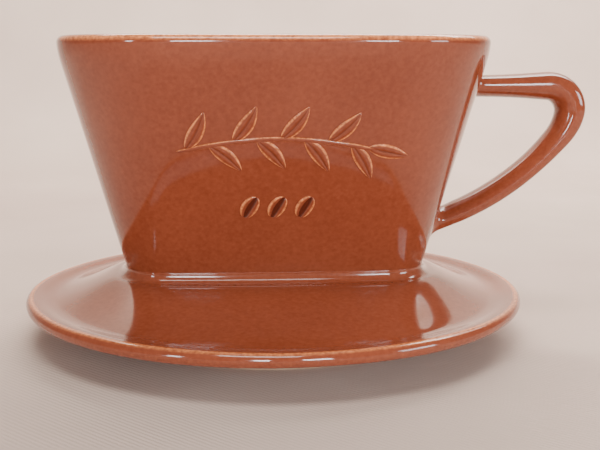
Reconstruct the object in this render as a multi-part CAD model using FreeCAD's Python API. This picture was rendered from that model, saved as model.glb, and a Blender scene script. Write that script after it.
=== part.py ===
"""Pour over dripper: a one-cup filter holder in glazed stoneware, in millimetres.

A tapering wedge-shaped wall stands on a round dished flange, with a foot ring under the flange and a
one-finger handle at one end. The origin is the centre of the foot ring on the table. +Z is up, +X points
to the handle, and the decorated wall faces -Y.
"""
import FreeCAD, Part
import math
import os
from FreeCAD import Vector

# Heights
LIP_HEIGHT = 12.0  # crest of the flange's lip above the table
SEAT_RISE = 4.8  # narrow flat seat round the wall, above the lip's crest
CONE_HEIGHT = 61.1  # rim above the seat

# Wall: outside sizes of its plan at the rim and where it meets the seat
RIM_HALF_WIDTH = 55.3
RIM_HALF_DEPTH = 46.0
RIM_CORNER = 31.0
SEAT_HALF_WIDTH = 38.6
SEAT_HALF_DEPTH = 17.0
SEAT_CORNER = 10.5
SIDE_BULGE = math.radians(3.0)  # half the turn of each slightly bowed long side
END_BULGE = math.radians(12.0)  # half the turn of each bowed end
WALL = 4.7
RIM_BAND = 3.4  # upright band under the rim
RIM_OUTER_ROUND = 1.6
RIM_INNER_ROUND = 1.2

# Floor of the filter space, and its row of drip holes
FLOOR_THICKNESS = 4.0
DRIP_HOLES = 3
DRIP_HOLE_RADIUS = 1.8
DRIP_HOLE_PITCH = 11.0

# Upright ribs on the inside of each long wall
RIBS = 7
RIB_WIDTH = 2.0
RIB_HEIGHT = 1.2
RIB_PITCH = 7.0
RIB_TOP_GAP = 15.0  # from the rim down to the top of a rib

# Flange
FLANGE_RADIUS = 65.0
SEAT_THICKNESS = 6.8
TROUGH_THICKNESS = 4.2
NOSE = 1.4  # how far the lip's crest stands inside the flange's edge
LIP_THICKNESS = 3.2
TROUGH_INSET = 7.5  # bottom of the dish inside the flange's edge
TROUGH_DROP = 0.6  # bottom of the dish below the lip's crest
FILLET = 2.0  # clay fillet from the seat up to the wall
SEAT_MARGIN = 0.4  # flat seat beyond the fillet
DISH_HOLLOW = 1.4  # 1 for a straight fall from the seat to the trough, more for a hollow one
DISH_RINGS = 5

# Foot ring
FOOT_RADIUS = 38.0
FOOT_THICKNESS = 4.5
FOOT_ROUND = 0.8

# Handle: a level bar, two bends and a long bowed leg back to the wall
BAR_DROP = 12.7  # middle of the bar below the rim
BAR_LENGTH = 20.6
BEND_RADIUS = 6.5
BEND_TURN = math.radians(105.5)
ELBOW_RADIUS = 14.7
ELBOW_TURN = math.radians(24.4)
ROOT_RISE = 12.1  # middle of the lower root above the seat
HANDLE_THICKNESS = 6.1
HANDLE_WIDTH = 11.0
BEND_SWELL = 2.4  # extra thickness round the bend
ROOT_FLARE = 3.2  # extra thickness and width where the handle meets the wall
FLARE_LENGTH = 5.0
HANDLE_EMBED = 2.0  # how far the handle's axis runs on behind the wall's outside face
HANDLE_SECTIONS = 25

# Raised decoration on the front wall: a leafy sprig, and a row of beans under it
RELIEF = 0.5
SPRIG_HALF_LENGTH = 24.0
SPRIG_RISE = 36.0  # middle of the stem above the seat
SPRIG_BOW = 3.0
STEM_WIDTH = 1.2
LEAVES = 8
FIRST_LEAF = -0.9  # along the stem, which runs from -1 to 1
LAST_LEAF = 0.7
TIP_LEAF = 0.86
LEAF_LENGTH = 10.0
LEAF_BOW = 1.9  # how far each edge of a leaf bows from its midline
LEAF_LEAN = math.radians(50.0)
BEANS = 3
BEAN_RISE = 20.4
BEAN_PITCH = 6.6
BEAN_HALF_LENGTH = 3.1
BEAN_HALF_WIDTH = 2.1
BEAN_LEAN = math.radians(60.0)
BEAN_CREASE = 0.6

# Heights above the table, and radii, that follow from these
SEAT = LIP_HEIGHT + SEAT_RISE
RIM = SEAT + CONE_HEIGHT
BAND = RIM - RIM_BAND
UNDERSIDE = SEAT - SEAT_THICKNESS
FLOOR_TOP = UNDERSIDE + FLOOR_THICKNESS
CREST_RADIUS = FLANGE_RADIUS - NOSE
TROUGH_RADIUS = FLANGE_RADIUS - TROUGH_INSET
TROUGH = LIP_HEIGHT - TROUGH_DROP
WALL_LEAN = math.atan((RIM_HALF_DEPTH - SEAT_HALF_DEPTH) / CONE_HEIGHT)
FILLET_REACH = FILLET / math.tan((math.pi / 2 - WALL_LEAN) / 2)  # from the wall out to the fillet's foot

OVERRUN = 1.0  # how far a cutting tool runs past the face that it cuts
TOLERANCE = 1e-4


def plan_at(height):
    """Outside half width, half depth and corner radius of the wall at a height above the table."""
    share = (height - SEAT) / CONE_HEIGHT
    half_width = SEAT_HALF_WIDTH + share * (RIM_HALF_WIDTH - SEAT_HALF_WIDTH)
    half_depth = SEAT_HALF_DEPTH + share * (RIM_HALF_DEPTH - SEAT_HALF_DEPTH)
    corner = SEAT_CORNER + share * (RIM_CORNER - SEAT_CORNER)
    return half_width, half_depth, corner


def plan_arc(centre, radius, start, end, height):
    """Level arc about a centre, from one direction to another."""
    points = []
    for angle in (start, (start + end) / 2, end):
        x = centre[0] + radius * math.cos(angle)
        y = centre[1] + radius * math.sin(angle)
        points.append(Vector(x, y, height))
    return Part.Arc(*points).toShape()


def plan_arcs(height):
    """Eight tangent arcs round the wall: bowed ends and sides, joined by round corners.

    Each is its centre, its radius, and the directions in which it starts and ends.
    """
    half_width, half_depth, corner = plan_at(height)
    width = half_width - corner
    depth = half_depth - corner
    # A corner's centre is side_reach from a long side's centre, and end_reach from an end's centre.
    turned = math.sin(SIDE_BULGE) * math.sin(END_BULGE)
    turned = turned - (1 - math.cos(SIDE_BULGE)) * (1 - math.cos(END_BULGE))
    side_reach = (width * math.sin(END_BULGE) - depth * (1 - math.cos(END_BULGE))) / turned
    end_reach = (depth * math.sin(SIDE_BULGE) - width * (1 - math.cos(SIDE_BULGE))) / turned
    corner_x = side_reach * math.sin(SIDE_BULGE)
    corner_y = end_reach * math.sin(END_BULGE)
    quarter = math.pi / 2
    arcs = []
    for turn in range(4):
        facing = turn * quarter
        is_end = turn % 2 == 0
        bulge, next_bulge = (END_BULGE, SIDE_BULGE) if is_end else (SIDE_BULGE, END_BULGE)
        reach, offset = (end_reach, width - end_reach) if is_end else (side_reach, depth - side_reach)
        middle = (offset * math.cos(facing), offset * math.sin(facing))
        arcs.append((middle, reach + corner, facing - bulge, facing + bulge))
        side = 1 if turn in (0, 3) else -1
        front = 1 if turn in (0, 1) else -1
        middle = (side * corner_x, front * corner_y)
        arcs.append((middle, corner, facing + bulge, facing + quarter - next_bulge))
    return arcs


def outline(height, inset=0.0):
    """Closed level wire along the wall's outside face, or inset from it."""
    edges = []
    for centre, radius, start, end in plan_arcs(height):
        edges.append(plan_arc(centre, radius - inset, start, end, height))
    return Part.Wire(edges)


def dish_ring(share):
    """Closed level wire on the dish: the seat's edge for a share of 0, and the round trough for 1."""
    height = TROUGH + (SEAT - TROUGH) * (1 - share) ** DISH_HOLLOW
    edges = []
    for (x, y), radius, start, end in plan_arcs(SEAT):
        centre = (x * (1 - share), y * (1 - share))
        radius = (radius + FILLET_REACH + SEAT_MARGIN) * (1 - share) + TROUGH_RADIUS * share
        edges.append(plan_arc(centre, radius, start, end, height))
    return Part.Wire(edges)


def cone(bottom, top, inset=0.0):
    """Solid inside the wall's outside face, or inside a face that lies inset from it."""
    return Part.makeLoft([outline(bottom, inset), outline(top, inset)], True, True)


def wall_block():
    """Solid inside the wall's outside face: tapered up to the band, and upright from there to the rim."""
    upright = Part.Face(outline(BAND)).extrude(Vector(0, 0, RIM_BAND))
    return cone(UNDERSIDE, BAND).fuse(upright)


def filter_space(inset=0.0):
    """Space for the paper filter, tapered like the wall, from the floor to above the rim."""
    upright = Part.Face(outline(BAND, WALL + inset)).extrude(Vector(0, 0, RIM_BAND + OVERRUN))
    return cone(UNDERSIDE, BAND, WALL + inset).fuse(upright)


def filter_wall():
    """Wall of the filter holder, open at the bottom, with its rim rounded outside and inside."""
    wall = wall_block().cut(filter_space())
    wall = wall.cut(Part.Face(outline(UNDERSIDE, WALL)).extrude(Vector(0, 0, -OVERRUN)))
    top = [face for face in wall.Faces if face.BoundBox.ZMin > RIM - TOLERANCE][0]
    wall = wall.makeFillet(RIM_OUTER_ROUND, top.OuterWire.Edges)
    top = [face for face in wall.Faces if face.BoundBox.ZMin > RIM - TOLERANCE][0]
    inner = [wire for wire in top.Wires if not wire.isSame(top.OuterWire)][0]
    return wall.makeFillet(RIM_INNER_ROUND, inner.Edges)


def drain_floor():
    """Floor inside the foot of the wall, with a row of drip holes."""
    floor = cone(UNDERSIDE, FLOOR_TOP, WALL)
    for hole in range(DRIP_HOLES):
        x = (hole - (DRIP_HOLES - 1) / 2) * DRIP_HOLE_PITCH
        start = Vector(x, 0, UNDERSIDE - OVERRUN)
        floor = floor.cut(Part.makeCylinder(DRIP_HOLE_RADIUS, FLOOR_THICKNESS + 2 * OVERRUN, start))
    return floor


def wall_ribs(side):
    """Upright ribs on the inside of one long wall: side is -1 at the front and 1 at the back."""
    skin = filter_space().cut(filter_space(RIB_HEIGHT))
    height = RIM - RIB_TOP_GAP - FLOOR_TOP
    ribs = []
    for rib in range(RIBS):
        x = (rib - (RIBS - 1) / 2) * RIB_PITCH
        low_y = 0 if side > 0 else -RIM_HALF_DEPTH
        slab = Part.makeBox(RIB_WIDTH, RIM_HALF_DEPTH, height, Vector(x - RIB_WIDTH / 2, low_y, FLOOR_TOP))
        ribs.extend(skin.common(slab).Solids)
    return Part.makeCompound(ribs)


def profile_point(radius, height):
    return Vector(radius, 0, height)


def ease(start, end):
    """Curve between two points of the flange's section, level at both."""
    middle = (start.x + end.x) / 2
    curve = Part.BezierCurve()
    curve.setPoles([start, profile_point(middle, start.z), profile_point(middle, end.z), end])
    return curve.toShape()


def quarter_round(start, corner, end):
    """Curve that turns once round a corner of the flange's section."""
    curve = Part.BezierCurve()
    curve.setPoles([start, corner, end])
    return curve.toShape()


def lip_disc():
    """Round disc of the flange up to the trough's level, with its lip."""
    trough_middle = profile_point(0, TROUGH)
    trough = profile_point(TROUGH_RADIUS, TROUGH)
    crest = profile_point(CREST_RADIUS, LIP_HEIGHT)
    nose = profile_point(FLANGE_RADIUS, LIP_HEIGHT - LIP_THICKNESS / 2)
    lip_under = profile_point(CREST_RADIUS, LIP_HEIGHT - LIP_THICKNESS)
    trough_under = profile_point(TROUGH_RADIUS, TROUGH - TROUGH_THICKNESS)
    foot_edge = profile_point(FOOT_RADIUS, UNDERSIDE)
    under_middle = profile_point(0, UNDERSIDE)
    section = Part.Wire([
        Part.makeLine(trough_middle, trough),
        ease(trough, crest),
        quarter_round(crest, profile_point(FLANGE_RADIUS, LIP_HEIGHT), nose),
        quarter_round(nose, profile_point(FLANGE_RADIUS, LIP_HEIGHT - LIP_THICKNESS), lip_under),
        ease(lip_under, trough_under),
        ease(trough_under, foot_edge),
        Part.makeLine(foot_edge, under_middle),
        Part.makeLine(under_middle, trough_middle),
    ])
    return Part.Face(section).revolve(Vector(0, 0, 0), Vector(0, 0, 1), 360)


def saucer_flange():
    """Dished flange round the foot of the wall, with a clay fillet up to it."""
    dish = Part.makeLoft([dish_ring(ring / DISH_RINGS) for ring in range(DISH_RINGS + 1)], True, False)
    whole = lip_disc().fuse(dish).fuse(cone(UNDERSIDE, BAND))
    walls = [face for face in whole.Faces if face.BoundBox.ZMax > BAND - TOLERANCE]
    foot_line = [edge for face in walls for edge in face.Edges if abs(edge.BoundBox.ZMax - SEAT) < TOLERANCE]
    cleared = whole.makeFillet(FILLET, foot_line).cut(cone(UNDERSIDE - OVERRUN, BAND + OVERRUN))
    # The cut can leave a hairline along the wall, which is no part of the flange.
    return max(cleared.Solids, key=lambda solid: solid.Volume)


def foot_ring():
    """Turned ring under the flange, rounded where it stands."""
    ring = Part.makeCylinder(FOOT_RADIUS, UNDERSIDE)
    ring = ring.cut(Part.makeCylinder(FOOT_RADIUS - FOOT_THICKNESS, UNDERSIDE))
    standing = [edge for edge in ring.Edges if edge.BoundBox.ZMax < TOLERANCE]
    return ring.makeFillet(FOOT_ROUND, standing)


def handle_path():
    """Pieces of the handle's axis in the XZ plane, as (start x, start z, heading, radius, turn, length)."""
    wall_slope = (RIM_HALF_WIDTH - SEAT_HALF_WIDTH) / CONE_HEIGHT
    bar_z = RIM - BAR_DROP
    bar_x = SEAT_HALF_WIDTH + wall_slope * (bar_z - SEAT)
    root_z = SEAT + ROOT_RISE
    root_x = SEAT_HALF_WIDTH + wall_slope * ROOT_RISE
    legs = [(bar_x - HANDLE_EMBED, bar_z, 0.0, 0.0, 0.0, HANDLE_EMBED + BAR_LENGTH)]
    x, z, heading = bar_x + BAR_LENGTH, bar_z, 0.0
    for radius, turn in ((BEND_RADIUS, BEND_TURN), (ELBOW_RADIUS, ELBOW_TURN)):
        legs.append((x, z, heading, radius, turn, radius * turn))
        x, z = along(legs[-1], radius * turn)[:2]
        heading = heading + turn
    # The last bow is the one arc that leaves the elbow smoothly and ends at the root.
    run_x, run_z = root_x - x, root_z - z
    to_root = math.atan2(-run_z, run_x)
    turn = 2 * (to_root - heading)
    radius = math.hypot(run_x, run_z) / (2 * math.sin(turn / 2))
    legs.append((x, z, heading, radius, turn, radius * turn))
    legs.append((root_x, root_z, heading + turn, 0.0, 0.0, HANDLE_EMBED))
    return legs


def along(leg, distance):
    """Point and heading at a distance along one piece of the handle's axis. It turns downwards."""
    x, z, heading, radius, turn, length = leg
    if radius == 0:
        return x + distance * math.cos(heading), z - distance * math.sin(heading), heading
    end = heading + distance / radius
    x = x + radius * (math.sin(end) - math.sin(heading))
    z = z + radius * (math.cos(end) - math.cos(heading))
    return x, z, end


def handle_section(x, z, heading, thickness, width):
    """Oval across the handle's axis."""
    across = Vector(math.sin(heading), 0, math.cos(heading))
    forward = Vector(math.cos(heading), 0, -math.sin(heading))
    centre = Vector(x, 0, z)
    oval = Part.Ellipse(Vector(0, width / 2, 0), Vector(thickness / 2, 0, 0), Vector(0, 0, 0))
    shape = oval.toShape()
    shape.Placement = FreeCAD.Placement(centre, FreeCAD.Rotation(across, Vector(0, 1, 0), forward, "ZXY"))
    return Part.Wire(shape)


def handle():
    """One-finger handle: ovals along its axis, swelling at the bend and flaring into the wall."""
    legs = handle_path()
    total = sum(leg[-1] for leg in legs)
    bend_at = legs[0][-1] + legs[1][-1] / 2
    sections = []
    for step in range(HANDLE_SECTIONS):
        distance = total * step / (HANDLE_SECTIONS - 1)
        to_wall = min(distance, total - distance) - HANDLE_EMBED
        flare = ROOT_FLARE * max(0.0, 1 - max(0.0, to_wall) / FLARE_LENGTH) ** 2
        swell = BEND_SWELL * math.exp(-((distance - bend_at) / (2 * BEND_RADIUS)) ** 2)
        rest = distance
        for leg in legs:
            if rest <= leg[-1] or leg is legs[-1]:
                break
            rest = rest - leg[-1]
        x, z, heading = along(leg, rest)
        sections.append(handle_section(x, z, heading, HANDLE_THICKNESS + swell + flare, HANDLE_WIDTH + flare))
    loop = Part.makeLoft(sections, True, False)
    return loop.cut(wall_block())


def relief_skin():
    """Thin layer that lies on the outside of the front wall."""
    skin = cone(SEAT, BAND, -RELIEF).cut(cone(UNDERSIDE, RIM))
    corner = Vector(-RIM_HALF_WIDTH, -2 * RIM_HALF_DEPTH, SEAT)
    return skin.common(Part.makeBox(2 * RIM_HALF_WIDTH, 2 * RIM_HALF_DEPTH, CONE_HEIGHT, corner))


def raised(faces):
    """Upright faces in the XZ plane, carried forward on to the wall as a layer of raised clay."""
    bars = [face.extrude(Vector(0, -2 * RIM_HALF_DEPTH, 0)) for face in faces]
    skin = relief_skin()
    layers = [skin.common(bar) for bar in bars]
    return layers[0].multiFuse(layers[1:])


def lens_face(start, end, bow):
    """Upright face between two arcs that bow by the same amount either side of a line."""
    middle = (start + end) / 2
    along_line = (end - start).normalize()
    sideways = Vector(-along_line.z, 0, along_line.x) * bow
    upper = Part.Arc(start, middle + sideways, end).toShape()
    lower = Part.Arc(end, middle - sideways, start).toShape()
    return Part.Face(Part.Wire([upper, lower]))


def stem_point(share, offset=0.0):
    """Point on the bowed stem, or beside it. share runs from -1 at one end to 1 at the other."""
    radius = (SPRIG_HALF_LENGTH ** 2 + SPRIG_BOW ** 2) / (2 * SPRIG_BOW)
    angle = share * math.asin(SPRIG_HALF_LENGTH / radius)
    top = SEAT + SPRIG_RISE + SPRIG_BOW / 2
    reach = radius + offset
    return Vector(reach * math.sin(angle), 0, top - radius + reach * math.cos(angle)), angle


def stem_face():
    """Upright face of the stem: a bowed strip."""
    half = STEM_WIDTH / 2
    above = [stem_point(share, half)[0] for share in (-1, 0, 1)]
    below = [stem_point(share, -half)[0] for share in (1, 0, -1)]
    edges = [
        Part.Arc(*above).toShape(),
        Part.makeLine(above[2], below[0]),
        Part.Arc(*below).toShape(),
        Part.makeLine(below[2], above[0]),
    ]
    return Part.Face(Part.Wire(edges))


def sprig_relief():
    """Raised sprig: a bowed stem with leaves by turns above and below it, and one at its tip."""
    faces = [stem_face()]
    for leaf in range(LEAVES):
        root, angle = stem_point(FIRST_LEAF + (LAST_LEAF - FIRST_LEAF) * leaf / (LEAVES - 1))
        lean = LEAF_LEAN if leaf % 2 == 0 else -LEAF_LEAN
        tip = root + Vector(math.cos(lean - angle), 0, math.sin(lean - angle)) * LEAF_LENGTH
        faces.append(lens_face(root, tip, LEAF_BOW))
    root, angle = stem_point(TIP_LEAF)
    tip = root + Vector(math.cos(angle), 0, -math.sin(angle)) * LEAF_LENGTH
    faces.append(lens_face(root, tip, LEAF_BOW))
    return raised(faces)


def bean_face(centre_x):
    """Upright oval face of one bean, leaning over."""
    middle = Vector(centre_x, 0, SEAT + BEAN_RISE)
    long_way = Vector(math.cos(BEAN_LEAN), 0, math.sin(BEAN_LEAN))
    short_way = Vector(-math.sin(BEAN_LEAN), 0, math.cos(BEAN_LEAN))
    oval = Part.Ellipse(middle + long_way * BEAN_HALF_LENGTH, middle + short_way * BEAN_HALF_WIDTH, middle)
    crease = lens_face(middle - long_way * 2 * BEAN_HALF_LENGTH, middle + long_way * 2 * BEAN_HALF_LENGTH,
                       BEAN_CREASE / 2)
    return Part.Face(Part.Wire(oval.toShape())).cut(crease).Faces


def bean_marks():
    """Row of raised beans, each in two halves beside its crease."""
    faces = []
    for bean in range(BEANS):
        faces.extend(bean_face((bean - (BEANS - 1) / 2) * BEAN_PITCH))
    return raised(faces)


def build():
    """Write one file for each piece."""
    os.makedirs("parts", exist_ok=True)
    pieces = {
        "filter_wall": filter_wall(),
        "drain_floor": drain_floor(),
        "front_ribs": wall_ribs(-1),
        "back_ribs": wall_ribs(1),
        "saucer_flange": saucer_flange(),
        "foot_ring": foot_ring(),
        "handle": handle(),
        "sprig_relief": sprig_relief(),
        "bean_marks": bean_marks(),
    }
    for name, shape in pieces.items():
        shape.exportStep("parts/" + name + ".step")


build()
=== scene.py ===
"""Pour over dripper in glossy chestnut-brown glaze, in metres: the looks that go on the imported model."""
import bmesh
import bpy
import math
from mathutils import Euler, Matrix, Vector, noise


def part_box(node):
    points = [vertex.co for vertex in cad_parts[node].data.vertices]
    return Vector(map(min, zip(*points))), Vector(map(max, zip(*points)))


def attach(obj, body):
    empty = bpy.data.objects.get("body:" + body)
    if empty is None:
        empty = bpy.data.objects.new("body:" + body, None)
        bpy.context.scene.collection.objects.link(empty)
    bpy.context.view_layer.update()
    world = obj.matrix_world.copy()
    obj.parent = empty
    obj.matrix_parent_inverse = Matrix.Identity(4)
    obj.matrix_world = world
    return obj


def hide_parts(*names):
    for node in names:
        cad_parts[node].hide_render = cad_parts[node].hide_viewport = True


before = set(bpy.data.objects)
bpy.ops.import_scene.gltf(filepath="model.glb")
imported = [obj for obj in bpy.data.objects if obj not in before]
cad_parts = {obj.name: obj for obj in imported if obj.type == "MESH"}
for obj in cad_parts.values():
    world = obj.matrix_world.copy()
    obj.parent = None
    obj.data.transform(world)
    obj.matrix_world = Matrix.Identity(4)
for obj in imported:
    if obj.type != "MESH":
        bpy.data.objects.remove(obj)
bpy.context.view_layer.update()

MM = 0.001

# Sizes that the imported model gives
wall_low, wall_high = (Vector(corner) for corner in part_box("filter_wall"))
floor_high = Vector(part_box("drain_floor")[1])
RIM = wall_high.z
UNDERSIDE = wall_low.z
FLOOR_TOP = floor_high.z
FLANGE_RADIUS = Vector(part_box("saucer_flange")[1]).x
FOOT_RADIUS = Vector(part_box("foot_ring")[1]).x

# Wall
WALL = 4.7 * MM
RIM_BAND = 3.4 * MM
RIM_BLEND = 3.0 * MM  # half the height over which the taper turns into the upright band
RIM_OUTER_ROUND = 1.9 * MM
RIM_INNER_ROUND = 1.4 * MM
RIM_OUTER_THIN = (0.0, 0.1, 0.35, 0.75, 1.0, 0.9, 0.6, 0.4, 0.3)  # thin glaze, ring by ring over the round
RIM_INNER_THIN = (0.3, 0.35, 0.4, 0.35, 0.2, 0.1, 0.0, 0.0)
HEM = 0.8 * MM  # bevel of the hidden lower edge
FLOOR_FILLET = 3.5 * MM
FLOOR_FILLET_STEPS = 7
LOW_CORNER = 10.5 * MM  # outside corner radius where the wall meets the flange
HIGH_CORNER = 31.0 * MM
SIDE_BULGE = math.radians(3.0)
END_BULGE = math.radians(12.0)
END_STEPS = 16
CORNER_STEPS = 18
SIDE_STEPS = 40
WALL_RINGS = 30
BAND = RIM - RIM_BAND

# Flange
SEAT_THICKNESS = 6.8 * MM
TROUGH_THICKNESS = 4.2 * MM
SEAT = UNDERSIDE + SEAT_THICKNESS
SEAT_RISE = 4.8 * MM
LIP_HEIGHT = SEAT - SEAT_RISE
LIP_THICKNESS = 3.2 * MM
NOSE = 1.4 * MM
TROUGH_INSET = 7.5 * MM
TROUGH_DROP = 0.6 * MM
FILLET_REACH = 3.2 * MM  # from the wall's foot, both up the wall and out on to the flange
FILLET_FULLNESS = 0.56
DISH_HOLLOW = 1.4
DISH_EASE = 0.14
DISH_RINGS = 22
FILLET_RINGS = 10
LIP_RINGS = 10
NOSE_RINGS = 9
LIP_UNDER_RINGS = 8
UNDERSIDE_RINGS = 12
CREST_BAND = 0.9 * MM  # how far the thin glaze reaches inwards from the lip's crest
NOSE_BAND = 5  # rings of the nose over which the glaze thickens again
NOSE_UNDER_THIN = 0.12
TUCK = 0.04 * MM  # how far a feathered edge dips under the surface that it runs on to
OVERLAP = 1.0 * MM  # how far hidden clay reaches into the next piece

# Foot ring
FOOT_THICKNESS = 4.5 * MM
FOOT_ROUND = 0.8 * MM
FOOT_ROUND_STEPS = 5
FOOT_FILLET = 2.0 * MM
FOOT_FILLET_STEPS = 6
FOOT_RISES = (0.35, 0.6)  # heights of the ring's plain rings, as shares of its own
FOOT_CORNERS = 144

# Handle
BAR_DROP = 12.7 * MM
BAR_LENGTH = 20.6 * MM
BEND_RADIUS = 6.5 * MM
BEND_TURN = math.radians(105.5)
ELBOW_RADIUS = 14.7 * MM
ELBOW_TURN = math.radians(24.4)
ROOT_RISE = 12.1 * MM
HANDLE_THICKNESS = 6.1 * MM
HANDLE_WIDTH = 11.0 * MM
BEND_SWELL = 2.4 * MM
ROOT_FILLET = 2.6 * MM
ROOT_RINGS = 8
ROOT_BURIED = 1.5 * MM
ROOT_TRIES = 8  # steps that bring a root's corner on to the bowed end wall
BAR_ROOT_REACH = 1.9 * ROOT_FILLET
LOW_ROOT_REACH = 2.4 * ROOT_FILLET
HANDLE_CORNERS = 40
HANDLE_STATIONS = 90
HANDLE_RIDGE = 0.10
RIDGE_SPREAD = 0.45
OUTSIDE_FLATTENING = 0.12

# Ribs
RIBS = 7
RIB_WIDTH = 2.0 * MM
RIB_HEIGHT = 1.2 * MM
RIB_PITCH = 7.0 * MM
RIB_TOP_GAP = 15.0 * MM
RIB_FOOT = 0.5 * MM  # how far a rib reaches into the floor
RIB_STEPS = 26
RIB_POINT = 3  # steps over which a rib narrows to its top
RIB_RUN_OUT = 6  # steps over which it sinks into the wall

# Drip holes
DRIP_HOLES = 3
DRIP_HOLE_RADIUS = 1.8 * MM
DRIP_HOLE_PITCH = 11.0 * MM
DRIP_HOLE_ROUND = 0.5 * MM
DRIP_HOLE_CORNERS = 40
DRIP_HOLE_MARGIN = 1.1

# Relief
RELIEF = 0.5 * MM
RELIEF_CORNERS = 28
RELIEF_FULLNESS = 0.6
RELIEF_STEPS = 22
RELIEF_LOWEST = 0.25  # share of its height that a raised bar keeps where it comes to a point
RELIEF_SWELL = 1.4
BURIED = 0.5 * MM  # how deep a raised bar reaches into the wall
BAR_EDGE = 0.86  # where the thin glaze runs along a bar, from 0 at its ridge to 1 at the wall
BAR_EDGE_WIDTH = 0.15
CREASE_POOL = -1.5
SPRIG_HALF_LENGTH = 24.0 * MM
SPRIG_RISE = 36.0 * MM
SPRIG_BOW = 3.0 * MM
STEM_WIDTH = 1.2 * MM
STEM_STEPS = 60
STEM_END = 0.3  # share of its width that the stem starts with
STEM_TAPER = 6.0
LEAVES = 8
LEAF_LENGTH = 10.0 * MM
LEAF_BOW = 1.9 * MM
LEAF_LEAN = math.radians(50.0)
LEAF_BEND = 0.5 * MM
LEAF_VEIN = 0.45  # depth of a vein as a share of the relief's height
LEAF_BELLY = 0.85  # under 1 puts a leaf's widest place nearer its stem
LEAF_ROUNDNESS = 0.8
LEAF_POINT = 0.02
FIRST_LEAF = -0.9  # along the stem, which runs from -1 to 1
LAST_LEAF = 0.7
TIP_LEAF = 0.86
BEANS = 3
BEAN_RISE = 20.4 * MM
BEAN_PITCH = 6.6 * MM
BEAN_HALF_LENGTH = 3.1 * MM
BEAN_HALF_WIDTH = 2.1 * MM
BEAN_LEAN = math.radians(60.0)
BEAN_BEND = 0.25 * MM
BEAN_CREASE = 0.85
BEAN_CREASE_CORNERS = 2
BEAN_POINT = 0.02


# ---------------------------------------------------------------- shape of the wall

def plan_at(height):
    """Outside half width, half depth and corner radius of the wall at a height."""
    share = (height - FLOOR_TOP) / (BAND - FLOOR_TOP)
    half_width = floor_high.x + WALL + share * (wall_high.x - floor_high.x - WALL)
    half_depth = floor_high.y + WALL + share * (wall_high.y - floor_high.y - WALL)
    corner = LOW_CORNER + (height - SEAT) / (RIM - SEAT) * (HIGH_CORNER - LOW_CORNER)
    return half_width, half_depth, corner


def plan_arcs(height):
    """Radii of the bowed sides and ends, and the corner's centre and radius, at a height."""
    half_width, half_depth, corner = plan_at(height)
    width = half_width - corner
    depth = half_depth - corner
    turned = math.sin(SIDE_BULGE) * math.sin(END_BULGE)
    turned = turned - (1 - math.cos(SIDE_BULGE)) * (1 - math.cos(END_BULGE))
    side_reach = (width * math.sin(END_BULGE) - depth * (1 - math.cos(END_BULGE))) / turned
    end_reach = (depth * math.sin(SIDE_BULGE) - width * (1 - math.cos(SIDE_BULGE))) / turned
    return width, depth, corner, side_reach, end_reach


def plan_ring(height, inset=0.0):
    """Points round the wall's plan at a height, inset from its outside face."""
    width, depth, corner, side_reach, end_reach = plan_arcs(height)
    corner_centre = Vector((side_reach * math.sin(SIDE_BULGE), end_reach * math.sin(END_BULGE)))
    points = []
    for turn in range(4):
        facing = turn * math.pi / 2
        is_end = turn % 2 == 0
        bulge, next_bulge = (END_BULGE, SIDE_BULGE) if is_end else (SIDE_BULGE, END_BULGE)
        reach, offset = (end_reach, width - end_reach) if is_end else (side_reach, depth - side_reach)
        centre = Vector((offset * math.cos(facing), offset * math.sin(facing)))
        points += arc_points(centre, reach + corner - inset, facing - bulge, facing + bulge,
                             END_STEPS if is_end else SIDE_STEPS)
        side = 1 if turn in (0, 3) else -1
        front = 1 if turn in (0, 1) else -1
        centre = Vector((side * corner_centre.x, front * corner_centre.y))
        points += arc_points(centre, corner - inset, facing + bulge,
                             facing + math.pi / 2 - next_bulge, CORNER_STEPS)
    return points


def arc_points(centre, radius, start, end, steps):
    """Evenly spaced points along an arc, without its last."""
    points = []
    for step in range(steps):
        angle = start + (end - start) * step / steps
        points.append(centre + radius * Vector((math.cos(angle), math.sin(angle))))
    return points


def taper_height(height):
    """Height on the straight taper with the same plan: the wall turns upright under its rim."""
    if height < BAND - RIM_BLEND:
        return height
    if height > BAND + RIM_BLEND:
        return BAND
    return BAND - (BAND + RIM_BLEND - height) ** 2 / (4 * RIM_BLEND)


def wall_ring(height, inset):
    """Ring of points in space at a height, inset from the wall's outside face."""
    return [Vector((x, y, height)) for x, y in plan_ring(taper_height(height), inset)]


def long_side_point(x, height, side, offset, inset=0.0):
    """Point on a long side of the wall, side -1 at the front and 1 at the back, moved outwards by offset."""
    def surface(at_x, at_height):
        _, depth, corner, side_reach, _ = plan_arcs(at_height)
        radius = side_reach + corner - inset
        y = depth - side_reach + math.sqrt(radius ** 2 - at_x ** 2)
        return Vector((at_x, side * y, at_height))
    here = surface(x, height)
    across = surface(x + MM, height) - here
    upward = surface(x, height + MM) - here
    outward = across.cross(upward).normalized() * -side
    return here + outward * offset


def end_wall_x(y, height):
    """Where the handle's end of the wall lies, at a depth and a height."""
    width, _, corner, _, end_reach = plan_arcs(height)
    radius = end_reach + corner
    return width - end_reach + math.sqrt(radius ** 2 - y ** 2)


# ---------------------------------------------------------------- mesh work

THIN = "thin_glaze"  # attribute: 0 for plain glaze, 1 where it has drawn off an edge, -1 where it has pooled


BROAD_WAVE = 34 * MM
BROAD_DEPTH = 0.10 * MM
FINE_WAVE = 11 * MM
FINE_DEPTH = 0.02 * MM
FINE_SHIFT = Vector((7.0, 3.0, 5.0))


def ripple(place):
    """Slight unevenness of a cast and glazed surface, along its normal."""
    broad = noise.noise(place / BROAD_WAVE)
    fine = noise.noise(place / FINE_WAVE + FINE_SHIFT)
    return broad * BROAD_DEPTH + fine * FINE_DEPTH


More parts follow.
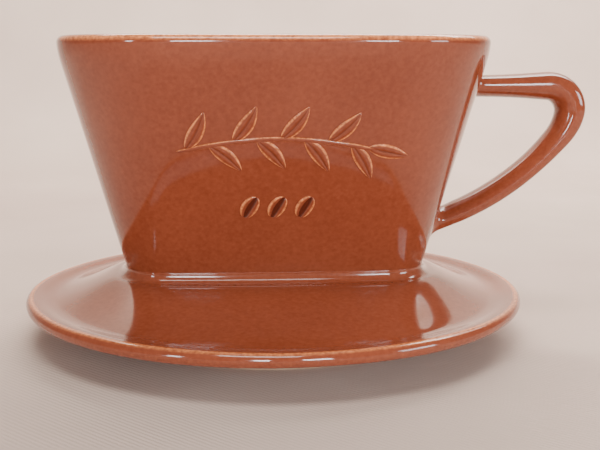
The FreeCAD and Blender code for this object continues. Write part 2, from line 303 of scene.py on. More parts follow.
def skin(bm, rings, thin=None, close=False, capped=False):
    """Carry one ring of corners through rings of places, skinning between them.

    thin holds the thinness of the glaze for each ring, as one number or as one for each corner.
    """
    layer = bm.verts.layers.float.get(THIN) or bm.verts.layers.float.new(THIN)
    count = len(rings[0])
    thin = thin or [0.0] * len(rings)
    verts = bmesh.ops.create_circle(bm, cap_ends=False, radius=1.0, segments=count)["verts"]
    edges = list(dict.fromkeys(edge for vert in verts for edge in vert.link_edges))
    first = verts
    first_edges = edges
    for index, (places, thinness) in enumerate(zip(rings, thin)):
        if index:
            made = bmesh.ops.extrude_edge_only(bm, edges=edges)["geom"]
            fresh = {item for item in made if isinstance(item, bmesh.types.BMVert)}
            verts = [next(edge.other_vert(vert) for edge in vert.link_edges if edge.other_vert(vert) in fresh)
                     for vert in verts]
            edges = [item for item in made if isinstance(item, bmesh.types.BMEdge)
                     and item.verts[0] in fresh and item.verts[1] in fresh]
        for corner, (vert, place) in enumerate(zip(verts, places)):
            vert.co = place
            vert[layer] = thinness[corner] if isinstance(thinness, list) else thinness
    if close:
        bmesh.ops.bridge_loops(bm, edges=first_edges + edges)
    if capped:
        for end in (first, verts):
            middle = sum((vert.co for vert in end), Vector()) / len(end)
            bmesh.ops.pointmerge(bm, verts=end, merge_co=middle)


def finish_piece(bm, name, nodes, material, uneven=1.0, levels=1):
    """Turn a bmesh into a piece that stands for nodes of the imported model."""
    bmesh.ops.recalc_face_normals(bm, faces=bm.faces)
    bm.normal_update()
    for vert in bm.verts:
        vert.co = vert.co + vert.normal * ripple(vert.co) * uneven
    mesh = bpy.data.meshes.new(name)
    bm.to_mesh(mesh)
    bm.free()
    mesh.polygons.foreach_set("use_smooth", [True] * len(mesh.polygons))
    piece = bpy.data.objects.new(name, mesh)
    bpy.context.scene.collection.objects.link(piece)
    if levels:
        subdivision = piece.modifiers.new("Smooth", "SUBSURF")
        subdivision.levels = levels
        subdivision.render_levels = levels
    mesh.materials.append(material)
    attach(piece, "root")
    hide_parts(*nodes)


def rounded(centre, radius, start, end, steps):
    """Points of an arc in a section, as (sideways, height) pairs."""
    points = []
    for step in range(steps + 1):
        angle = math.radians(start + (end - start) * step / steps)
        points.append((centre[0] + radius * math.cos(angle), centre[1] + radius * math.sin(angle)))
    return points


def eased(start, end, steps):
    """Points of a curve in a section, level at both ends, as (sideways, height) pairs without the last."""
    points = []
    for step in range(steps):
        t = step / steps
        ends = (1 - t) ** 3 * start[0] + t ** 3 * end[0]
        middle = 3 * t * (1 - t) * (start[0] + end[0]) / 2
        rise = 3 * t ** 2 - 2 * t ** 3
        points.append((ends + middle, start[1] + rise * (end[1] - start[1])))
    return points


# ---------------------------------------------------------------- materials

class Value:
    """A number from a shader socket. Sums with it become Math nodes."""

    def __init__(self, finish, socket):
        self.finish = finish
        self.socket = socket

    def maths(self, operation, *others):
        inputs = [self, *others]
        node = self.finish.node("ShaderNodeMath", {"operation": operation}, dict(enumerate(inputs)))
        return Value(self.finish, node.outputs[0])

    def __add__(self, other):
        return self.maths("ADD", other)

    __radd__ = __add__

    def __sub__(self, other):
        return self.maths("SUBTRACT", other)

    def __rsub__(self, other):
        return self.maths("MULTIPLY", -1.0) + other

    def __mul__(self, other):
        return self.maths("MULTIPLY", other)

    __rmul__ = __mul__

    def within(self, low, high):
        """0 below low and 1 above high, and even in between."""
        node = self.finish.node("ShaderNodeMapRange", {"clamp": True},
                                {"Value": self, "From Min": low, "From Max": high})
        return Value(self.finish, node.outputs[0])


class Finish:
    """One material, and the making of its nodes."""

    def __init__(self, name):
        self.material = bpy.data.materials.new(name)
        self.material.use_nodes = True
        self.tree = self.material.node_tree
        self.shader = self.tree.nodes["Principled BSDF"]
        self.place = self.node("ShaderNodeTexCoord").outputs["Object"]

    def node(self, kind, settings=None, sockets=None):
        node = self.tree.nodes.new(kind)
        for key, value in (settings or {}).items():
            setattr(node, key, value)
        self.fill(node, sockets or {})
        return node

    def fill(self, node, sockets):
        for key, value in sockets.items():
            value = value.socket if isinstance(value, Value) else value
            if isinstance(value, bpy.types.NodeSocket):
                self.tree.links.new(value, node.inputs[key])
            else:
                node.inputs[key].default_value = value

    def cloud(self, size, detail=2.0, seed=0.0):
        """Soft noise from 0 to 1, with patches about one size across."""
        node = self.node("ShaderNodeTexNoise", {"noise_dimensions": "4D"},
                         {"Vector": self.place, "W": seed, "Scale": 1 / size, "Detail": detail})
        return Value(self, node.outputs[0])

    def specks(self, spacing, radius, seed=0.0):
        """Round specks, 1 at each one's middle and 0 beyond its radius."""
        node = self.node("ShaderNodeTexVoronoi", {"voronoi_dimensions": "4D"},
                         {"Vector": self.place, "W": seed, "Scale": 1 / spacing, "Randomness": 1.0})
        return 1 - Value(self, node.outputs["Distance"]).within(0.0, radius / spacing)

    def blend(self, share, first, second):
        """Colour that goes from the first to the second as share goes from 0 to 1."""
        node = self.node("ShaderNodeMix", {"data_type": "RGBA"})
        self.fill(node, {0: share, 6: first, 7: second})
        return node.outputs[2]

    def attribute(self, name):
        node = self.node("ShaderNodeAttribute", {"attribute_name": name})
        return Value(self, node.outputs["Fac"])

    def bump(self, height, distance, strength=1.0, under=None):
        sockets = {"Height": height, "Distance": distance, "Strength": strength}
        if under is not None:
            sockets["Normal"] = under
        return self.node("ShaderNodeBump", None, sockets).outputs[0]


DEEP_BROWN = (0.200, 0.042, 0.018, 1.0)
CHESTNUT = (0.260, 0.062, 0.028, 1.0)
THIN_ORANGE = (0.800, 0.260, 0.090, 1.0)
POOLED_BROWN = (0.085, 0.016, 0.008, 1.0)
IRON_SPECK = (0.060, 0.018, 0.010, 1.0)
BARE_CLAY = (0.560, 0.400, 0.270, 1.0)
MOTTLE_SIZE = 26 * MM
MOTTLE_SHARE = 0.35
GRAIN_SIZE = 0.9 * MM
RAGGED_SIZE = 0.8 * MM
SPECK_SPACING = 5.5 * MM
SPECK_RADIUS = 0.22 * MM
SPECK_STRENGTH = 0.6
SMOOTHEST = 0.06
SHEEN_SIZE = 9 * MM
PEEL_SIZE = 2.6 * MM
PEEL_DEPTH = 0.010 * MM
PIT_SPACING = 13 * MM
PIT_RADIUS = 0.3 * MM
PIT_DEPTH = 0.05 * MM
BARE_HEIGHT = 0.8 * MM  # where the glaze was wiped off the foot
BARE_EDGE = 0.3 * MM
BARE_WANDER = 0.8 * MM
BARE_ROUGHNESS = 0.55
GLAZE_INDEX = 1.47
GLAZE_COAT = 0.12
COAT_ROUGHNESS = 0.03


def glaze(name, foot=False):
    """Glossy chestnut glaze: finely grained and specked, orange where thin and dark where it has pooled."""
    finish = Finish(name)
    grain = finish.cloud(GRAIN_SIZE, 3.0, 4.0) * (1 - MOTTLE_SHARE)
    mottle = finish.cloud(MOTTLE_SIZE) * MOTTLE_SHARE + grain
    colour = finish.blend(mottle.within(0.34, 0.66), DEEP_BROWN, CHESTNUT)
    thinness = finish.attribute(THIN)
    ragged = finish.cloud(RAGGED_SIZE, 4.0, 2.0).within(0.3, 0.7) * 0.9 + 0.25
    colour = finish.blend((thinness * ragged).within(0.08, 0.80), colour, THIN_ORANGE)
    colour = finish.blend((thinness * -1.0).within(0.15, 1.0), colour, POOLED_BROWN)
    dark = finish.specks(SPECK_SPACING, SPECK_RADIUS, 1.0)
    colour = finish.blend(dark * SPECK_STRENGTH, colour, IRON_SPECK)
    rough = SMOOTHEST + finish.cloud(SHEEN_SIZE, 2.0, 6.0) * SMOOTHEST
    peel = finish.bump(finish.cloud(PEEL_SIZE, 2.0, 8.0), PEEL_DEPTH)
    pits = finish.bump(finish.specks(PIT_SPACING, PIT_RADIUS, 5.0) * -1.0, PIT_DEPTH, 1.0, peel)
    if foot:
        height = Value(finish, finish.node("ShaderNodeSeparateXYZ", None, {0: finish.place}).outputs[2])
        wander = height + (finish.cloud(4 * MM, 3.0, 3.0) - 0.5) * BARE_WANDER
        bare = 1 - wander.within(BARE_HEIGHT - BARE_EDGE, BARE_HEIGHT)
        colour = finish.blend(bare, colour, BARE_CLAY)
        rough = rough + bare * BARE_ROUGHNESS
    finish.fill(finish.shader, {"Base Color": colour, "Roughness": rough, "Normal": pits,
                                "Coat Weight": GLAZE_COAT, "Coat Roughness": COAT_ROUGHNESS,
                                "IOR": GLAZE_INDEX})
    return finish.material


# ---------------------------------------------------------------- pieces

def make_wall(material):
    """Tapering wall: up the outside, over the rounded rim, down the inside and into a fillet at the floor."""
    bm = bmesh.new()
    section = [(HEM, UNDERSIDE), (0.0, UNDERSIDE + HEM)]
    start = SEAT - OVERLAP
    top = RIM - RIM_OUTER_ROUND
    for step in range(WALL_RINGS):
        section.append((0.0, start + (top - start) * step / WALL_RINGS))
    thin = [0.0] * len(section)
    over = rounded((0.0, top), RIM_OUTER_ROUND, 0, 90, len(RIM_OUTER_THIN) - 1)
    section += [(RIM_OUTER_ROUND - x, z) for x, z in over]
    thin += RIM_OUTER_THIN
    inner_top = RIM - RIM_INNER_ROUND
    over = rounded((0.0, inner_top), RIM_INNER_ROUND, 90, 0, len(RIM_INNER_THIN) - 1)
    section += [(WALL - RIM_INNER_ROUND + x, z) for x, z in over]
    thin += RIM_INNER_THIN
    bottom = FLOOR_TOP + FLOOR_FILLET
    for step in range(1, WALL_RINGS):
        section.append((WALL, inner_top + (bottom - inner_top) * step / WALL_RINGS))
    for x, z in rounded((WALL + FLOOR_FILLET, bottom), FLOOR_FILLET, 180, 270, FLOOR_FILLET_STEPS):
        section.append((x, z - TUCK))
    section += [(WALL + FLOOR_FILLET, UNDERSIDE + OVERLAP), (WALL, UNDERSIDE)]
    thin += [0.0] * (len(section) - len(thin))
    skin(bm, [wall_ring(z, inset) for inset, z in section], thin, close=True)
    finish_piece(bm, "glazed_wall", ["filter_wall"], material)


def dish_height(share):
    """Height of the dish from its seat, at share 0, to its trough, at share 1: level at both."""
    eased_share = share ** 2 / (share + DISH_EASE * (1 - share))
    trough = LIP_HEIGHT - TROUGH_DROP
    return trough + (SEAT - trough) * (1 - eased_share) ** DISH_HOLLOW


def fillet_rings(foot, seat_edge):
    """Rings of the fillet, from the wall down to the dish. foot and seat_edge are its outlines in plan."""
    lean = math.atan((plan_at(RIM)[1] - plan_at(SEAT)[1]) / (RIM - SEAT))
    wall_line = wall_ring(SEAT + FILLET_REACH * math.cos(lean), TUCK)
    rings = []
    for step in range(FILLET_RINGS):
        t = step / FILLET_RINGS
        shares = ((1 - t) ** 2, 2 * FILLET_FULLNESS * t * (1 - t), t ** 2)
        ring = []
        for high, corner, low in zip(wall_line, foot, seat_edge):
            parts = (high, Vector((corner.x, corner.y, SEAT)), Vector((low.x, low.y, SEAT)))
            place = sum((part * share for part, share in zip(parts, shares)), Vector())
            ring.append(place / sum(shares))
        rings.append(ring)
    return rings


def dish_rings(seat_edge, normals):
    """Rings of the dish, which goes from the seat's edge to the round trough."""
    rings = []
    for step in range(DISH_RINGS):
        share = step / DISH_RINGS
        ring = []
        for edge, normal in zip(seat_edge, normals):
            place = edge.lerp(normal * (FLANGE_RADIUS - TROUGH_INSET), share)
            ring.append(Vector((place.x, place.y, dish_height(share))))
        rings.append(ring)
    return rings


def lip_section():
    """Section from the trough over the lip and back to the foot ring, as (radius, height, thin glaze)."""
    crest = FLANGE_RADIUS - NOSE
    trough = FLANGE_RADIUS - TROUGH_INSET
    trough_under = LIP_HEIGHT - TROUGH_DROP - TROUGH_THICKNESS
    half_lip = LIP_THICKNESS / 2
    lip_middle = LIP_HEIGHT - half_lip
    section = []
    for radius, height in eased((trough, dish_height(1)), (crest, LIP_HEIGHT), LIP_RINGS):
        section.append((radius, height, max(0.0, 1 - (crest - radius) / CREST_BAND)))
    for step in range(2 * NOSE_RINGS):
        angle = math.radians(90 - 90 * step / NOSE_RINGS)
        thinness = max(0.0, 1 - step / NOSE_BAND) if step < NOSE_RINGS else NOSE_UNDER_THIN
        section.append((crest + NOSE * math.cos(angle), lip_middle + half_lip * math.sin(angle), thinness))
    for radius, height in eased((crest, LIP_HEIGHT - LIP_THICKNESS), (trough, trough_under), LIP_UNDER_RINGS):
        section.append((radius, height, 0.0))
    for radius, height in eased((trough, trough_under), (FOOT_RADIUS, UNDERSIDE), UNDERSIDE_RINGS):
        section.append((radius, height, 0.0))
    section.append((FOOT_RADIUS, UNDERSIDE, 0.0))
    return section


def make_flange(material):
    """Dished flange: it leaves the wall in a fillet, falls gently to a round trough and turns up to a lip."""
    bm = bmesh.new()
    foot = plan_ring(SEAT)
    seat_edge = plan_ring(SEAT, -FILLET_REACH)
    normals = [(outer - inner).normalized() for inner, outer in zip(foot, seat_edge)]
    rings = fillet_rings(foot, seat_edge) + dish_rings(seat_edge, normals)
    thin = [0.0] * len(rings)
    for radius, height, thinness in lip_section():
        rings.append([Vector((radius * normal.x, radius * normal.y, height)) for normal in normals])
        thin.append(thinness)
    rings += [wall_ring(height, OVERLAP) for height in (UNDERSIDE, UNDERSIDE + OVERLAP)]
    thin += [0.0, 0.0]
    skin(bm, rings, thin, close=True)
    finish_piece(bm, "dished_flange", ["saucer_flange"], material)


def make_foot(material):
    """Turned foot ring, flaring up into the flange, with a bare ring where it stands."""
    bm = bmesh.new()
    inside = FOOT_RADIUS - FOOT_THICKNESS
    fillet_z = UNDERSIDE - FOOT_FILLET
    buried_z = UNDERSIDE + OVERLAP
    section = rounded((FOOT_RADIUS + FOOT_FILLET, fillet_z), FOOT_FILLET, 90, 180, FOOT_FILLET_STEPS)
    section += [(FOOT_RADIUS, UNDERSIDE * share) for share in reversed(FOOT_RISES)]
    section += rounded((FOOT_RADIUS - FOOT_ROUND, FOOT_ROUND), FOOT_ROUND, 0, -90, FOOT_ROUND_STEPS)
    section += rounded((inside + FOOT_ROUND, FOOT_ROUND), FOOT_ROUND, -90, -180, FOOT_ROUND_STEPS)
    section += [(inside, UNDERSIDE * share) for share in FOOT_RISES]
    section += rounded((inside - FOOT_FILLET, fillet_z), FOOT_FILLET, 0, 90, FOOT_FILLET_STEPS)
    section += [(inside - FOOT_FILLET, buried_z), (FOOT_RADIUS + FOOT_FILLET, buried_z)]
    turns = [2 * math.pi * corner / FOOT_CORNERS for corner in range(FOOT_CORNERS)]
    rings = [[Vector((radius * math.cos(turn), radius * math.sin(turn), height)) for turn in turns]
             for radius, height in section]
    skin(bm, rings, close=True)
    finish_piece(bm, "turned_foot", ["foot_ring"], material, uneven=0.0)


def handle_legs():
    """Legs of the handle's axis, as (x, z, heading, radius, turn, length). It turns downwards, in radians."""
    bar_z = RIM - BAR_DROP
    bar_x = end_wall_x(0, bar_z)
    root_z = SEAT + ROOT_RISE
    root_x = end_wall_x(0, root_z)
    legs = [(bar_x, bar_z, 0.0, 0.0, 0.0, BAR_LENGTH)]
    x, z, heading = bar_x + BAR_LENGTH, bar_z, 0.0
    for radius, turn in ((BEND_RADIUS, BEND_TURN), (ELBOW_RADIUS, ELBOW_TURN)):
        legs.append((x, z, heading, radius, turn, radius * turn))
        x, z, heading = along(legs[-1], radius * turn)
    to_root = math.atan2(z - root_z, root_x - x)
    turn = 2 * (to_root - heading)
    radius = math.hypot(root_x - x, root_z - z) / (2 * math.sin(turn / 2))
    legs.append((x, z, heading, radius, turn, radius * turn))
    return legs


def along(leg, distance):
    """Point and heading at a distance along one leg of the handle's axis."""
    x, z, heading, radius, _, _ = leg
    if radius == 0:
        return x + distance * math.cos(heading), z - distance * math.sin(heading), heading
    end = heading + distance / radius
    return (x + radius * (math.sin(end) - math.sin(heading)),
            z + radius * (math.cos(end) - math.cos(heading)), end)


def handle_corner(turn, thickness, width):
    """Corner of the handle's section, as (outwards, sideways): flatter outside, with a ridge each side."""
    outward = math.cos(turn)
    sideways = math.sin(turn)
    ridge = 1.0
    flattening = 1.0
    if outward > 0:
        ridge = 1 + HANDLE_RIDGE * math.exp(-((abs(sideways) - outward) / RIDGE_SPREAD) ** 2)
        flattening = 1 - OUTSIDE_FLATTENING * outward ** 2
    return outward * thickness / 2 * flattening, sideways * width / 2 * ridge


def handle_station(legs, distance, spread):
    """Corners of the handle's section at a distance along its axis, and the way that the axis goes there.

    spread moves the corners outwards, all round.
    """
    rest = min(max(distance, 0.0), sum(leg[-1] for leg in legs))
    for leg in legs:
        if rest <= leg[-1] or leg is legs[-1]:
            break
        rest = rest - leg[-1]
    x, z, heading = along(leg, rest)
    bend_at = legs[0][-1] + legs[1][-1] / 2
    swell = BEND_SWELL * math.exp(-((distance - bend_at) / (2 * BEND_RADIUS)) ** 2)
    outward = Vector((math.sin(heading), 0, math.cos(heading)))
    places = []
    for corner in range(HANDLE_CORNERS):
        turn = 2 * math.pi * corner / HANDLE_CORNERS
        out, side = handle_corner(turn, HANDLE_THICKNESS + swell, HANDLE_WIDTH)
        away = Vector((out / (HANDLE_THICKNESS / 2) ** 2, side / (HANDLE_WIDTH / 2) ** 2))
        push = away.normalized() * spread
        places.append(Vector((x, 0, z)) + outward * (out + push.x) + Vector((0, side + push.y, 0)))
    return places, Vector((math.cos(heading), 0, -math.sin(heading)))


def root_rings(legs, distance):
    """Rings of a root's fillet, from inside the wall out to the plain section."""
    rings = []
    for step in range(ROOT_RINGS + 1):
        angle = math.radians(90 * step / ROOT_RINGS)
        places, forward = handle_station(legs, distance, ROOT_FILLET * (1 - math.sin(angle)))
        clear = ROOT_FILLET * (1 - math.cos(angle)) - (TUCK if step == 0 else 0.0)
        ring = []
        for place in places:
            travel = 0.0
            for _ in range(ROOT_TRIES):
                at = place + forward * travel
                travel = travel + (end_wall_x(at.y, at.z) + clear - at.x) / forward.x
            ring.append(place + forward * travel)
        rings.append(ring)
    buried = [place + Vector((-ROOT_BURIED, 0, 0)) for place in rings[0]]
    return [buried] + rings


def make_handle(material):
    """One-finger handle, swept along its axis and flared on to the wall at both roots."""
    bm = bmesh.new()
    legs = handle_legs()
    total = sum(leg[-1] for leg in legs)
    rings = root_rings(legs, 0.0)
    for step in range(1, HANDLE_STATIONS):
        distance = total * step / HANDLE_STATIONS
        if BAR_ROOT_REACH <= distance <= total - LOW_ROOT_REACH:
            rings.append(handle_station(legs, distance, 0.0)[0])
    rings += reversed(root_rings(legs, total))
    skin(bm, rings, capped=True)
    finish_piece(bm, "loop_handle", ["handle"], material)


def make_floor(material):
    """Floor of the filter space, with its drip holes rounded over."""
    bm = bmesh.new()
    outline = plan_ring(FLOOR_TOP, WALL)
    outer = bmesh.ops.create_circle(bm, cap_ends=False, radius=1.0, segments=len(outline))["verts"]
    for vert, (x, y) in zip(outer, outline):
        vert.co = Vector((x, y, FLOOR_TOP))
    for hole in range(DRIP_HOLES):
        x = (hole - (DRIP_HOLES - 1) / 2) * DRIP_HOLE_PITCH
        made = bmesh.ops.create_circle(bm, cap_ends=False, radius=DRIP_HOLE_RADIUS,
                                       segments=DRIP_HOLE_CORNERS)
        bmesh.ops.translate(bm, verts=made["verts"], vec=Vector((x, 0, FLOOR_TOP)))
    bmesh.ops.triangle_fill(bm, use_beauty=True, edges=bm.edges[:])
    made = bmesh.ops.extrude_face_region(bm, geom=bm.faces[:], use_keep_orig=True)["geom"]
    lowered = [item for item in made if isinstance(item, bmesh.types.BMVert)]
    bmesh.ops.translate(bm, verts=lowered, vec=Vector((0, 0, UNDERSIDE - FLOOR_TOP)))
    row_half_width = DRIP_HOLES * DRIP_HOLE_PITCH / 2
    rims = []
    for edge in bm.edges:
        one, other = (vert.co for vert in edge.verts)
        level = abs(one.z - other.z) < 0.1 * MM
        upright = [face for face in edge.link_faces if abs(face.normal.z) < 0.5]
        at_hole = abs(one.y) < DRIP_HOLE_MARGIN * DRIP_HOLE_RADIUS and abs(one.x) < row_half_width
        if level and at_hole and len(edge.link_faces) == 2 and len(upright) == 1:
            rims.append(edge)
    bmesh.ops.bevel(bm, geom=rims, offset=DRIP_HOLE_ROUND, segments=4, profile=0.5, affect="EDGES",
                    material=-1)
    finish_piece(bm, "drip_floor", ["drain_floor"], material, uneven=0.0, levels=0)


def bar_rings(points, outwards, half_widths, heights, corners=16, fullness=1.0, groove=0.0, crease_corners=1):
    """Rings of a low rounded bar along points on a surface, and the glaze's thinness at each corner.

    fullness under 1 makes its top flatter. groove is the share of its height that a crease along it takes,
    and crease_corners the crease's half width. The glaze pools there, so its thinness is below 0.
    """
    rings = []
    thin = []
    for index, point in enumerate(points):
        before = points[max(0, index - 1)]
        after = points[min(len(points) - 1, index + 1)]
        forward = (after - before).normalized()
        outward = outwards[index]
        across = forward.cross(outward).normalized()
        ring = []
        ring_thin = []
        for corner in range(corners):
            turn = 2 * math.pi * corner / corners
            lift = math.sin(turn)
            in_crease = groove > 0 and abs(corner - corners / 4) < crease_corners
            kept = 1 - groove if in_crease else 1.0
            lift = kept * lift ** fullness * heights[index] if lift > 0 else lift * BURIED
            ring.append(point + across * math.cos(turn) * half_widths[index] + outward * lift)
            edge = math.exp(-((abs(math.cos(turn)) - BAR_EDGE) / BAR_EDGE_WIDTH) ** 2)
            ring_thin.append(CREASE_POOL * groove if in_crease else edge)
        rings.append(ring)
        thin.append(ring_thin)
    return rings, thin


def make_ribs(side, name, node, material):
    """Upright ribs inside one long wall, rounded over and running out at the top."""
    bm = bmesh.new()
    rise = RIM - RIB_TOP_GAP - FLOOR_TOP
    for rib in range(RIBS):
        x = (rib - (RIBS - 1) / 2) * RIB_PITCH
        points = []
        outwards = []
        widths = []
        heights = []
        for step in range(RIB_STEPS + 1):
            height = FLOOR_TOP - RIB_FOOT + rise * step / RIB_STEPS
            point = long_side_point(x, height, side, 0.0, WALL)
            points.append(point)
            outwards.append((long_side_point(x, height, side, -MM, WALL) - point).normalized())
            left = RIB_STEPS - step
            widths.append(RIB_WIDTH / 2 * min(1.0, left / RIB_POINT) ** 0.5)
            heights.append(RIB_HEIGHT * min(1.0, left / RIB_RUN_OUT) ** 0.7)
        rings, _ = bar_rings(points, outwards, widths, heights)
        skin(bm, rings, capped=True)
    finish_piece(bm, name, [node], material, uneven=0.0)


def stem_point(share):
    """Point on the sprig's bowed stem, as x, height and how far the stem has turned downwards there."""
    radius = (SPRIG_HALF_LENGTH ** 2 + SPRIG_BOW ** 2) / (2 * SPRIG_BOW)
    angle = share * math.asin(SPRIG_HALF_LENGTH / radius)
    top = SEAT + SPRIG_RISE + SPRIG_BOW / 2
    return radius * math.sin(angle), top - radius + radius * math.cos(angle), angle


def relief_bar(bm, start, end, half_width, shape, bend=0.0, steps=RELIEF_STEPS, groove=0.0, crease_corners=1):
    """Low raised shape along a line on the front wall. shape gives its width, from 0 to 1, along it."""
    points = []
    outwards = []
    widths = []
    heights = []
    length = math.hypot(end[0] - start[0], end[1] - start[1])
    sideways = (-(end[1] - start[1]) / length, (end[0] - start[0]) / length)
    for step in range(steps + 1):
        share = step / steps
        bow = bend * math.sin(math.pi * share)
        x = start[0] + (end[0] - start[0]) * share + sideways[0] * bow
        z = start[1] + (end[1] - start[1]) * share + sideways[1] * bow
        point = long_side_point(x, z, -1, 0.0)
        points.append(point)
        outwards.append((long_side_point(x, z, -1, MM) - point).normalized())
        width = shape(share)
        widths.append(half_width * width)
        heights.append(RELIEF * min(1.0, RELIEF_LOWEST + RELIEF_SWELL * width))
    rings, thin = bar_rings(points, outwards, widths, heights, RELIEF_CORNERS, RELIEF_FULLNESS, groove,
                            crease_corners)
    skin(bm, rings, thin, capped=True)


def stem_width(share):
    """Width of the stem along its length: it tapers at both ends."""
    return min(1.0, STEM_TAPER * share + STEM_END, STEM_TAPER * (1 - share) + STEM_END)


def leaf_width(share):
    """Width of a leaf along its length: pointed at both ends."""
    if share in (0, 1):
        return LEAF_POINT
    return math.sin(math.pi * share ** LEAF_BELLY) ** LEAF_ROUNDNESS


def bean_width(share):
    """Width of a bean along its length: an oval."""
    return math.sqrt(max(BEAN_POINT ** 2, 1 - (2 * share - 1) ** 2))


def make_sprig(material):
    """Raised leafy sprig on the front wall, each leaf with its vein pressed in."""
    bm = bmesh.new()
    relief_bar(bm, stem_point(-1)[:2], stem_point(1)[:2], STEM_WIDTH / 2, stem_width, bend=SPRIG_BOW,
               steps=STEM_STEPS)
    for leaf in range(LEAVES):
        x, z, angle = stem_point(FIRST_LEAF + (LAST_LEAF - FIRST_LEAF) * leaf / (LEAVES - 1))
        lean = (LEAF_LEAN if leaf % 2 == 0 else -LEAF_LEAN) - angle
        tip = (x + math.cos(lean) * LEAF_LENGTH, z + math.sin(lean) * LEAF_LENGTH)
        bend = LEAF_BEND if leaf % 2 else -LEAF_BEND
        relief_bar(bm, (x, z), tip, LEAF_BOW, leaf_width, bend=bend, groove=LEAF_VEIN)
    x, z, angle = stem_point(TIP_LEAF)
    tip = (x + math.cos(angle) * LEAF_LENGTH, z - math.sin(angle) * LEAF_LENGTH)
    relief_bar(bm, (x, z), tip, LEAF_BOW, leaf_width, groove=LEAF_VEIN)
    finish_piece(bm, "raised_sprig", ["sprig_relief"], material, uneven=0.0)


def make_beans(material):
    """Row of raised coffee beans under the sprig."""
    bm = bmesh.new()
    across = math.cos(BEAN_LEAN) * BEAN_HALF_LENGTH
    up = math.sin(BEAN_LEAN) * BEAN_HALF_LENGTH
    z = SEAT + BEAN_RISE
    for bean in range(BEANS):
        x = (bean - (BEANS - 1) / 2) * BEAN_PITCH
        relief_bar(bm, (x - across, z - up), (x + across, z + up), BEAN_HALF_WIDTH, bean_width,
                   bend=BEAN_BEND, groove=BEAN_CREASE, crease_corners=BEAN_CREASE_CORNERS)
    finish_piece(bm, "raised_beans", ["bean_marks"], material, uneven=0.0)


# ---------------------------------------------------------------- floor, light and camera

# Pale sweep
SWEEP_WIDTH = 3.0
SWEEP_FRONT = -1.6
SWEEP_NEAR = -0.6
SWEEP_BEND_AT = 0.30  # where the floor starts to turn up
SWEEP_BEND = 0.25  # radius of the turn
SWEEP_BEND_STEPS = 9
SWEEP_TOP = 1.8
CLOTH_DARK = (0.540, 0.405, 0.335, 1.0)
CLOTH_PALE = (0.660, 0.515, 0.430, 1.0)
CLOTH_PATCH = 90 * MM
CLOTH_ROUGHNESS = 0.85
TWILL = 2.6 * MM
TWILL_SHARE = 0.18  # of the change of tone
TWILL_DEPTH = 0.10 * MM
CRUMPLE_SIZE = 70 * MM
CRUMPLE_DEPTH = 4.0 * MM

# Lights
WINDOW_DISTANCE = 0.95
WINDOW_MIDDLE = 0.22  # height of its middle
WINDOW_HEIGHT = 0.26
WINDOW_AIM = (0.0, 0.0, 0.06)
DAYLIGHT = (0.90, 0.95, 1.0)
WINDOWS = (  # name, heading in degrees to the right of straight ahead, width, watts
    ("window_ahead", -8.0, 0.10, 3.2),
    ("window_right", 17.0, 0.15, 4.2),
    ("window_left", -44.0, 0.10, 2.2),
    ("window_far_right", 60.0, 0.30, 4.0),
)
SOFT_LIGHTS = (  # name, place, aim, width, height, watts, colour
    ("overhead", (0.14, 0.42, 0.52), (0.02, 0.05, 0.0), 0.9, 0.3, 4.6, (1.0, 0.96, 0.93)),
    ("backdrop_glow", (0.12, 0.38, 0.55), (0.16, 0.50, 0.0), 0.8, 0.2, 6.2, (1.0, 0.93, 0.86)),
    ("front_top", (-0.06, -0.30, 0.70), (0.0, -0.04, 0.0), 0.35, 0.25, 3.4, (1.0, 0.97, 0.94)),
)
AIR_COLOUR = (0.84, 0.74, 0.68, 1.0)
AIR_STRENGTH = 0.22

# Camera
EYE = (-9.2 * MM, -270.1 * MM, 74.9 * MM)
EYE_DIP = math.radians(9.79)
EYE_HEADING = math.radians(-3.4)
LENS = 61.6
SENSOR_WIDTH = 36.0


def cloth(name, low, high):
    """Matt woven cloth: a fine twill, and slow changes of tone."""
    finish = Finish(name)
    shade = finish.cloud(CLOTH_PATCH, 3.0).within(0.25, 0.75)
    across = finish.node("ShaderNodeTexWave", {"bands_direction": "DIAGONAL"},
                         {"Vector": finish.place, "Scale": 1 / TWILL, "Distortion": 1.6, "Detail": 2.0,
                          "Detail Scale": 3.0})
    thread = Value(finish, across.outputs["Fac"])
    tone = shade * (1 - TWILL_SHARE) + thread * TWILL_SHARE
    weave = finish.bump(thread, TWILL_DEPTH, 0.6)
    crumple = finish.bump(finish.cloud(CRUMPLE_SIZE, 3.0, 2.0), CRUMPLE_DEPTH, 0.5, weave)
    finish.fill(finish.shader, {"Base Color": finish.blend(tone, low, high), "Roughness": CLOTH_ROUGHNESS,
                                "Normal": crumple})
    return finish.material


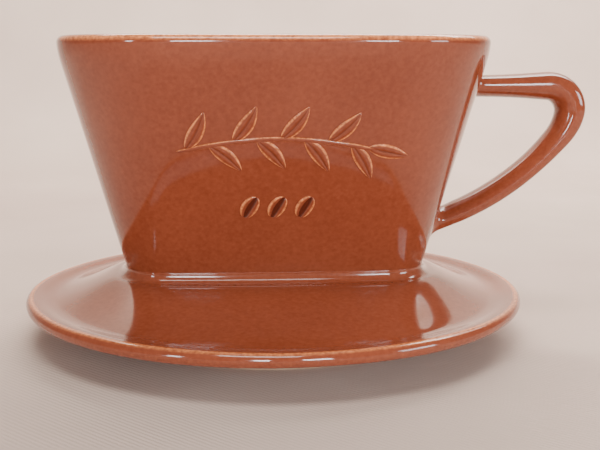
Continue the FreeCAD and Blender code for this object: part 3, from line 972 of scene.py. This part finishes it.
def make_studio():
    """Pale sweep: a level floor that turns up into a backdrop."""
    bm = bmesh.new()
    section = [(SWEEP_FRONT, 0.0), (SWEEP_NEAR, 0.0), (SWEEP_BEND_AT, 0.0)]
    bend = rounded((0.0, 0.0), SWEEP_BEND, -81, 0, SWEEP_BEND_STEPS)
    section += [(SWEEP_BEND_AT + y, SWEEP_BEND + z) for y, z in bend]
    section += [(SWEEP_BEND_AT + SWEEP_BEND, SWEEP_TOP)]
    verts = [bm.verts.new((-SWEEP_WIDTH / 2, y, z)) for y, z in section]
    edges = [bm.edges.new(pair) for pair in zip(verts, verts[1:])]
    made = bmesh.ops.extrude_edge_only(bm, edges=edges)["geom"]
    far_side = [item for item in made if isinstance(item, bmesh.types.BMVert)]
    bmesh.ops.translate(bm, verts=far_side, vec=(SWEEP_WIDTH, 0, 0))
    mesh = bpy.data.meshes.new("pale_sweep")
    bm.to_mesh(mesh)
    bm.free()
    mesh.polygons.foreach_set("use_smooth", [True] * len(mesh.polygons))
    sweep = bpy.data.objects.new("pale_sweep", mesh)
    bpy.context.scene.collection.objects.link(sweep)
    mesh.materials.append(cloth("pale_cloth", CLOTH_DARK, CLOTH_PALE))


def soft_light(name, place, aim, width, height, power, colour):
    """Rectangular light at a place, turned to face its aim."""
    light = bpy.data.lights.new(name, "AREA")
    light.shape = "RECTANGLE"
    light.size = width
    light.size_y = height
    light.energy = power
    light.color = colour
    lamp = bpy.data.objects.new(name, light)
    lamp.location = place
    lamp.rotation_euler = (Vector(aim) - Vector(place)).to_track_quat("-Z", "Y").to_euler()
    bpy.context.scene.collection.objects.link(lamp)


def make_light():
    """Bright windows in front of the object, soft light from above and a faint glow all round."""
    for name, heading, width, power in WINDOWS:
        angle = math.radians(heading)
        place = (WINDOW_DISTANCE * math.sin(angle), -WINDOW_DISTANCE * math.cos(angle), WINDOW_MIDDLE)
        soft_light(name, place, WINDOW_AIM, width, WINDOW_HEIGHT, power, DAYLIGHT)
    for settings in SOFT_LIGHTS:
        soft_light(*settings)
    world = bpy.data.worlds.new("studio_air")
    bpy.context.scene.world = world
    world.use_nodes = True
    background = world.node_tree.nodes["Background"]
    background.inputs["Color"].default_value = AIR_COLOUR
    background.inputs["Strength"].default_value = AIR_STRENGTH


def make_camera():
    """Eye level just under the rim, turned a few degrees to the object's front."""
    camera = bpy.data.cameras.new("camera")
    camera.lens = LENS
    camera.sensor_width = SENSOR_WIDTH
    eye = bpy.data.objects.new("camera", camera)
    eye.location = EYE
    eye.rotation_euler = Euler((math.pi / 2 - EYE_DIP, 0.0, EYE_HEADING))
    bpy.context.scene.collection.objects.link(eye)
    bpy.context.scene.camera = eye


brown = glaze("chestnut_glaze")
raised_brown = glaze("chestnut_glaze_on_relief")
foot_brown = glaze("chestnut_glaze_on_foot", foot=True)
make_wall(brown)
make_flange(brown)
make_foot(foot_brown)
make_handle(brown)
make_floor(brown)
make_ribs(-1, "front_wall_ribs", "front_ribs", brown)
make_ribs(1, "back_wall_ribs", "back_ribs", brown)
make_sprig(raised_brown)
make_beans(raised_brown)
make_studio()
make_light()
make_camera()
